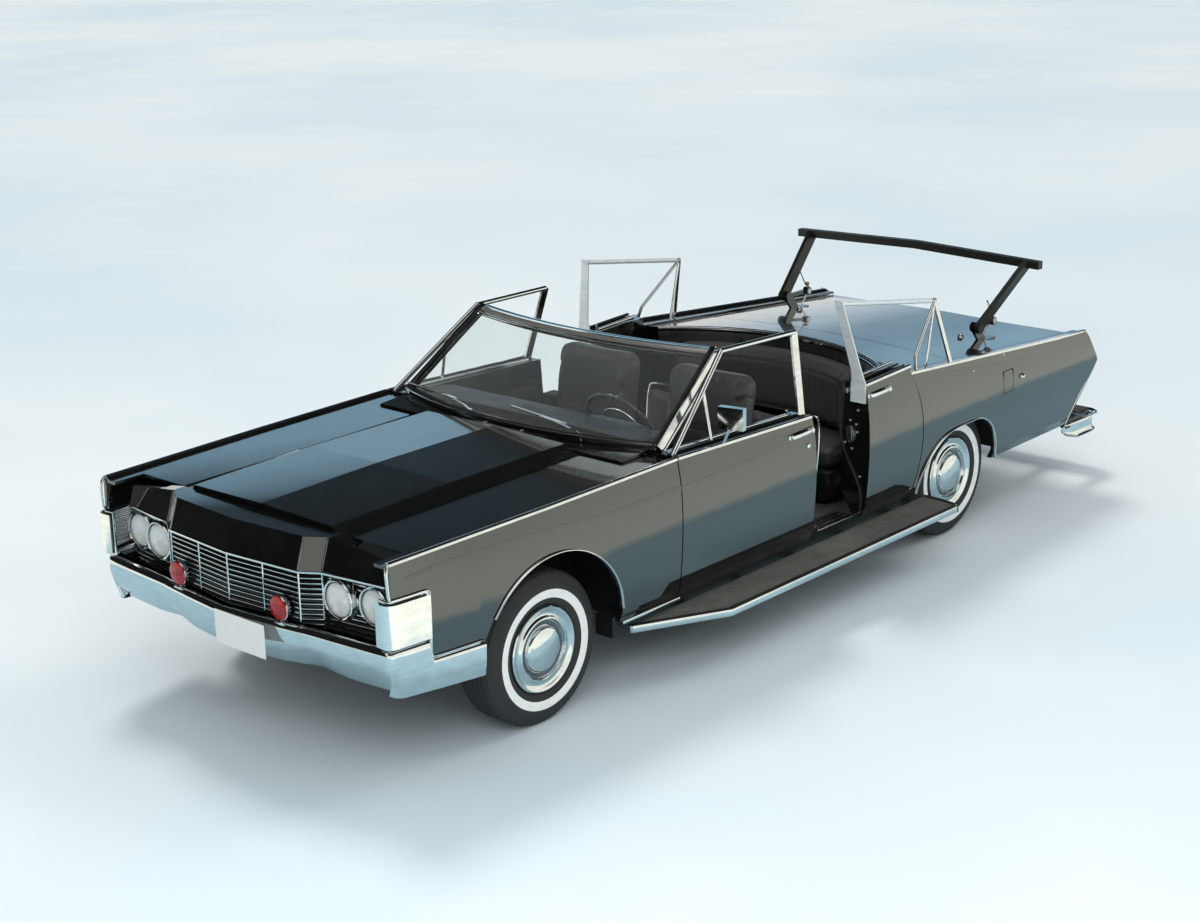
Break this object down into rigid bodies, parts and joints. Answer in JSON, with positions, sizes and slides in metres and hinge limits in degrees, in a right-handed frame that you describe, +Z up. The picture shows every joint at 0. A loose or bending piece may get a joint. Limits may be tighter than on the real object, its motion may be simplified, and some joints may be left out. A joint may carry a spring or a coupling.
{
  "type": "open escort limousine",
  "caption": "Open limousine with a long boot, side running boards, a folding handrail on the deck and a rear step; doors, lids and steering move.",
  "frame": {"origin": "on the floor under the middle of the whole vehicle, rear step extended", "axes": "+X forward, +Y to the vehicle's left, +Z up"},
  "size_m": [5.907, 2.3, 1.4649],
  "materials": {
    "body_paint": "gloss",
    "chassis_black": "satin",
    "bright_metal": "polished",
    "tyre_rubber": "matte",
    "wheel_cover": "polished",
    "glass_clear": "gloss",
    "lamp_glass": "gloss",
    "lamp_red": "gloss",
    "seat_leather": "satin",
    "dash_plastic": "matte",
    "mat_rubber": "ribbed",
    "plate_blank": "gloss",
    "engine_iron": "as cast"
  },
  "bodies": {
    "body": {"underbody": "chassis_black", "front_fenders": "body_paint", "grille": "bright_metal", "front_lamps": "lamp_glass", "front_bumper": "bright_metal", "number_plate": "plate_blank", "warning_lamps": "lamp_red", "cowl": "body_paint", "windscreen_frame": "bright_metal", "windscreen_glass": "glass_clear", "dashboard": "dash_plastic", "front_seats": "seat_leather", "jump_seats": "seat_leather", "rear_seat": "seat_leather", "engine_block": "engine_iron", "quarter_panels": "body_paint", "tonneau": "body_paint", "tail_panel": "body_paint", "quarter_frames": "bright_metal", "running_boards": "mat_rubber", "running_gear": "chassis_black"},
    "steering_wheel": {"steering_wheel": "dash_plastic"},
    "rear_step": {"rear_step": "bright_metal"},
    "hood": {"hood": "body_paint"},
    "deck_lid": {"deck_lid": "body_paint"},
    "handrail": {"handrail": "bright_metal"},
    "front_door_left": {"door_front_left": "body_paint", "frame_front_left": "bright_metal"},
    "rear_door_left": {"door_rear_left": "body_paint", "frame_rear_left": "bright_metal"},
    "knuckle_left": {"knuckle_left": "chassis_black"},
    "wheel_front_left": {"wheel_front_left": "wheel_cover", "tyre_front_left": "tyre_rubber"},
    "wheel_rear_left": {"wheel_rear_left": "wheel_cover", "tyre_rear_left": "tyre_rubber"},
    "front_door_right": {"door_front_right": "body_paint", "frame_front_right": "bright_metal"},
    "rear_door_right": {"door_rear_right": "body_paint", "frame_rear_right": "bright_metal"},
    "knuckle_right": {"knuckle_right": "chassis_black"},
    "wheel_front_right": {"wheel_front_right": "wheel_cover", "tyre_front_right": "tyre_rubber"},
    "wheel_rear_right": {"wheel_rear_right": "wheel_cover", "tyre_rear_right": "tyre_rubber"}
  },
  "joints": [
    {"name": "front_door_left_hinge", "type": "hinge", "parent": "body", "child": "front_door_left", "pos_m": [1.0815, 0.988, 0.7], "axis": [0, 0, -1], "range_deg": [0, 65]},
    {"name": "rear_door_left_hinge", "type": "hinge", "parent": "body", "child": "rear_door_left", "pos_m": [-0.7835, 0.988, 0.7], "axis": [0, 0, 1], "range_deg": [0, 65]},
    {"name": "steer_left", "type": "hinge", "parent": "body", "child": "knuckle_left", "pos_m": [1.9165, 0.668, 0.348], "axis": [0, 0, 1], "range_deg": [-32, 32]},
    {"name": "spin_front_left", "type": "hinge", "parent": "knuckle_left", "child": "wheel_front_left", "pos_m": [1.9165, 0.772, 0.348], "axis": [0, 1, 0], "continuous": true},
    {"name": "spin_rear_left", "type": "hinge", "parent": "body", "child": "wheel_rear_left", "pos_m": [-1.2835, 0.772, 0.348], "axis": [0, 1, 0], "continuous": true},
    {"name": "front_door_right_hinge", "type": "hinge", "parent": "body", "child": "front_door_right", "pos_m": [1.0815, -0.988, 0.7], "axis": [0, 0, 1], "range_deg": [0, 65]},
    {"name": "rear_door_right_hinge", "type": "hinge", "parent": "body", "child": "rear_door_right", "pos_m": [-0.7835, -0.988, 0.7], "axis": [0, 0, -1], "range_deg": [0, 65]},
    {"name": "steer_right", "type": "hinge", "parent": "body", "child": "knuckle_right", "pos_m": [1.9165, -0.668, 0.348], "axis": [0, 0, 1], "range_deg": [-32, 32]},
    {"name": "spin_front_right", "type": "hinge", "parent": "knuckle_right", "child": "wheel_front_right", "pos_m": [1.9165, -0.772, 0.348], "axis": [0, 1, 0], "continuous": true},
    {"name": "spin_rear_right", "type": "hinge", "parent": "body", "child": "wheel_rear_right", "pos_m": [-1.2835, -0.772, 0.348], "axis": [0, 1, 0], "continuous": true},
    {"name": "hood_hinge", "type": "hinge", "parent": "body", "child": "hood", "pos_m": [1.2765, 0, 1.024], "axis": [0, -1, 0], "range_deg": [0, 60]},
    {"name": "deck_lid_hinge", "type": "hinge", "parent": "body", "child": "deck_lid", "pos_m": [-2.4835, 0, 0.897], "axis": [0, -1, 0], "range_deg": [0, 50]},
    {"name": "handrail_fold", "type": "hinge", "parent": "deck_lid", "child": "handrail", "pos_m": [-1.8845, 0, 1], "axis": [0, -1, 0], "range_deg": [0, 36]},
    {"name": "rear_step_slide", "type": "slide", "parent": "body", "child": "rear_step", "axis": [1, 0, 0], "range_m": [0, 0.18]},
    {"name": "steering_wheel_turn", "type": "hinge", "parent": "body", "child": "steering_wheel", "pos_m": [0.7865, 0.375, 0.985], "axis": [-0.8829, 0, 0.4695], "range_deg": [-450, 450]}
  ],
  "couplings": [
    {"joint": "steer_right", "follows": "steer_left", "ratio": 1},
    {"joint": "steering_wheel_turn", "follows": "steer_left", "ratio": 14}
  ]
}
